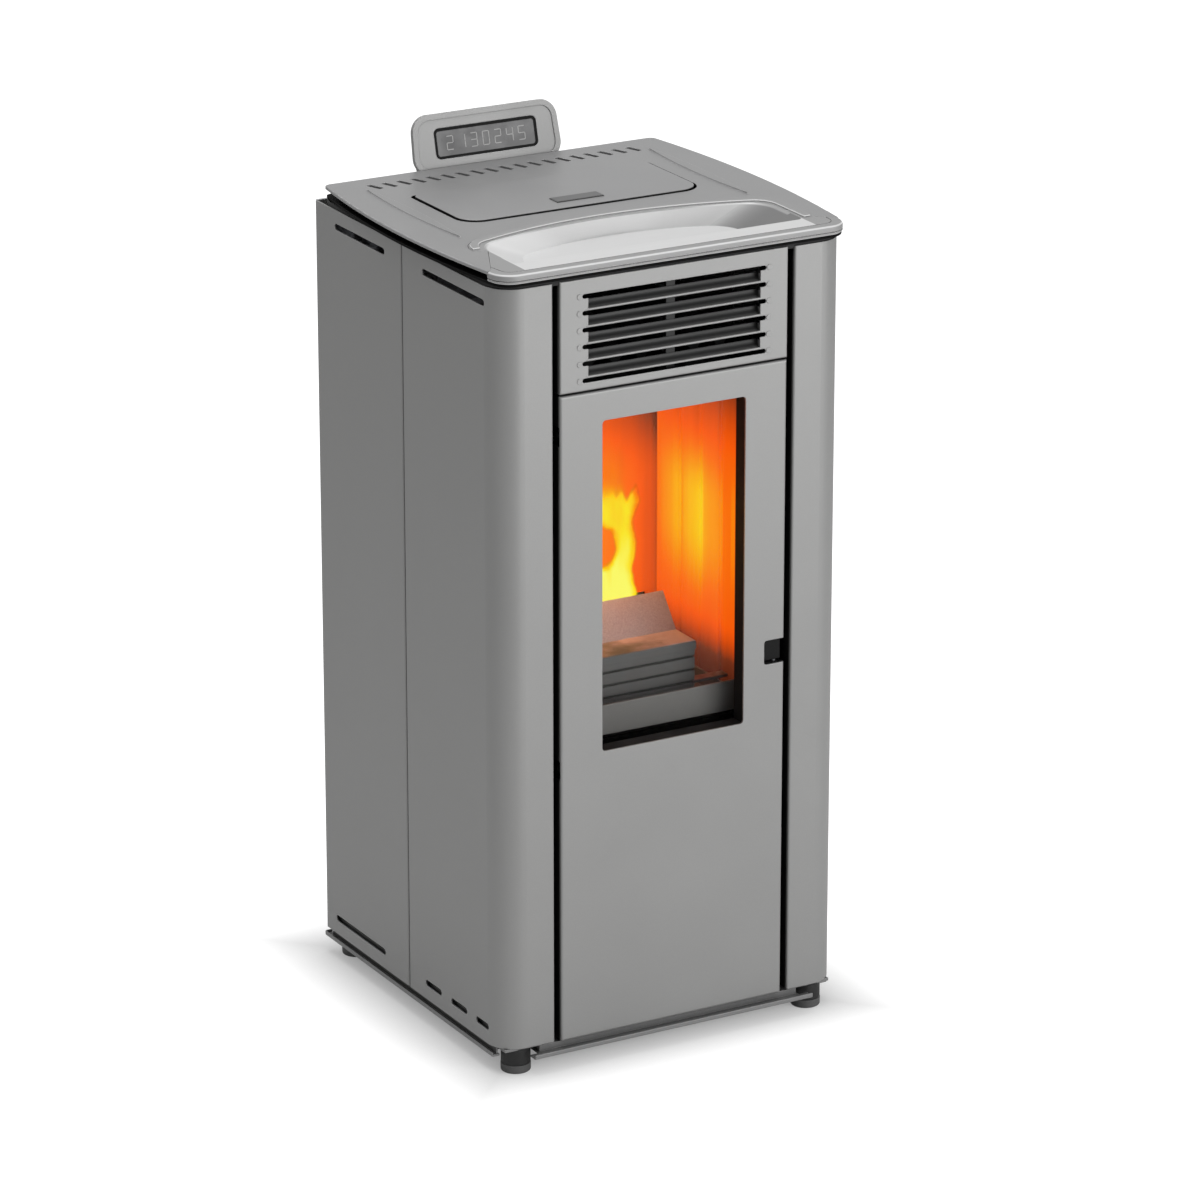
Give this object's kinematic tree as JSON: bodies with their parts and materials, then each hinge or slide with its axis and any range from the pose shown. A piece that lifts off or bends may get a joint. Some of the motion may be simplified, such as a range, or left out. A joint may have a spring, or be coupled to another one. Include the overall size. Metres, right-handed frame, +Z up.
{
  "type": "pellet stove",
  "caption": "Free-standing pellet stove: sheet-metal casing with rounded front columns, windowed door, louvred vent, dished top tray, hopper lid and raised rear control panel.",
  "frame": {"origin": "on the floor, under the middle of the stove's outline", "axes": "+Z up, -Y towards the front (door), +X to the right seen from the front"},
  "size_m": [0.4184, 0.434, 0.8994],
  "materials": {
    "casing_paint": "satin metallic grey",
    "top_paint": "satin metallic grey",
    "bright_steel": "satin",
    "black_steel": "matt heat-proof black",
    "zinc_steel": "zinc plated",
    "black_rubber": "matt",
    "black_plastic": "matt",
    "ceramic_glass": "clear, heat proof",
    "display_lens": "smoked, glossy",
    "rope_seal": "braided glass fibre",
    "cast_iron": "as cast",
    "fire_liner": "heat discoloured",
    "aluminium": "as cast",
    "circuit_board": "matt",
    "motor_body": "satin"
  },
  "bodies": {
    "cabinet": {"base_tray": "black_steel", "foot_pads": "black_rubber", "foot_studs": "black_plastic", "foot_nuts": "zinc_steel", "chassis_posts": "zinc_steel", "front_bulkhead": "black_steel", "side_panel_front_left": "casing_paint", "side_panel_front_right": "casing_paint", "side_panel_rear_left": "casing_paint", "side_panel_rear_right": "casing_paint", "rear_panel": "zinc_steel", "rear_panel_screws": "zinc_steel", "lower_top_frame": "black_steel", "top_plate": "top_paint", "front_tray": "bright_steel", "vent_grille": "casing_paint", "hinge_brackets": "zinc_steel", "catch_keeper": "zinc_steel", "control_housing": "casing_paint", "control_fascia": "top_paint", "display_window": "display_lens", "display_board": "circuit_board", "firebox_body": "black_steel", "side_liners": "fire_liner", "back_liner": "fire_liner", "flame_baffle": "fire_liner", "ash_drawer": "black_steel", "pot_holder": "cast_iron", "flame_deflector": "cast_iron", "heat_exchanger": "black_steel", "hopper": "zinc_steel", "auger_tube": "zinc_steel", "gear_motor": "motor_body", "smoke_duct": "zinc_steel", "smoke_fan_housing": "aluminium", "smoke_motor": "motor_body", "flue_spigot": "black_steel", "air_intake_pipe": "zinc_steel", "igniter": "zinc_steel", "convection_housing": "zinc_steel", "convection_motor": "motor_body", "control_board_box": "black_plastic", "pressure_switch": "black_plastic", "power_inlet": "black_plastic"},
    "door": {"door_panel": "casing_paint", "door_frame": "black_steel", "glass_gasket": "rope_seal", "door_glass": "ceramic_glass", "glass_clips": "zinc_steel", "door_seal": "rope_seal", "catch_pin": "zinc_steel", "catch_spring": "zinc_steel"},
    "catch": {"catch_lever": "black_steel"},
    "lid": {"hopper_lid": "top_paint", "lid_seal": "black_rubber"},
    "feed_screw": {"auger_screw": "zinc_steel"},
    "smoke_wheel": {"smoke_impeller": "zinc_steel"},
    "blower_wheel": {"convection_rotor": "aluminium"},
    "pot": {"burn_pot": "cast_iron"},
    "switch": {"power_switch": "black_plastic"}
  },
  "joints": [
    {"name": "door_hinge", "type": "hinge", "parent": "cabinet", "child": "door", "pos_m": [-0.124, -0.201, 0.322], "axis": [0, 0, -1], "range_deg": [0, 100]},
    {"name": "catch_pivot", "type": "hinge", "parent": "door", "child": "catch", "pos_m": [0.1235, -0.198, 0.405], "axis": [0, 0, 1], "range_deg": [0, 12], "stiffness_Nm_per_rad": 0.3},
    {"name": "lid_hinge", "type": "hinge", "parent": "cabinet", "child": "lid", "pos_m": [0, 0.081, 0.8415], "axis": [-1, 0, 0], "range_deg": [0, 75]},
    {"name": "auger_spin", "type": "hinge", "parent": "cabinet", "child": "feed_screw", "pos_m": [0, 0.081, 0.48], "axis": [0, 1, 0], "continuous": true},
    {"name": "smoke_impeller_spin", "type": "hinge", "parent": "cabinet", "child": "smoke_wheel", "pos_m": [0.072, 0.111, 0.185], "axis": [0, 1, 0], "continuous": true},
    {"name": "convection_rotor_spin", "type": "hinge", "parent": "cabinet", "child": "blower_wheel", "pos_m": [0, -0.099, 0.112], "axis": [1, 0, 0], "continuous": true},
    {"name": "burn_pot_lift", "type": "slide", "parent": "cabinet", "child": "pot", "axis": [0, 0, 1], "range_m": [0, 0.03]},
    {"name": "power_switch_rock", "type": "hinge", "parent": "cabinet", "child": "switch", "pos_m": [-0.14, 0.175, 0.102], "axis": [1, 0, 0], "range_deg": [-8, 8]}
  ]
}
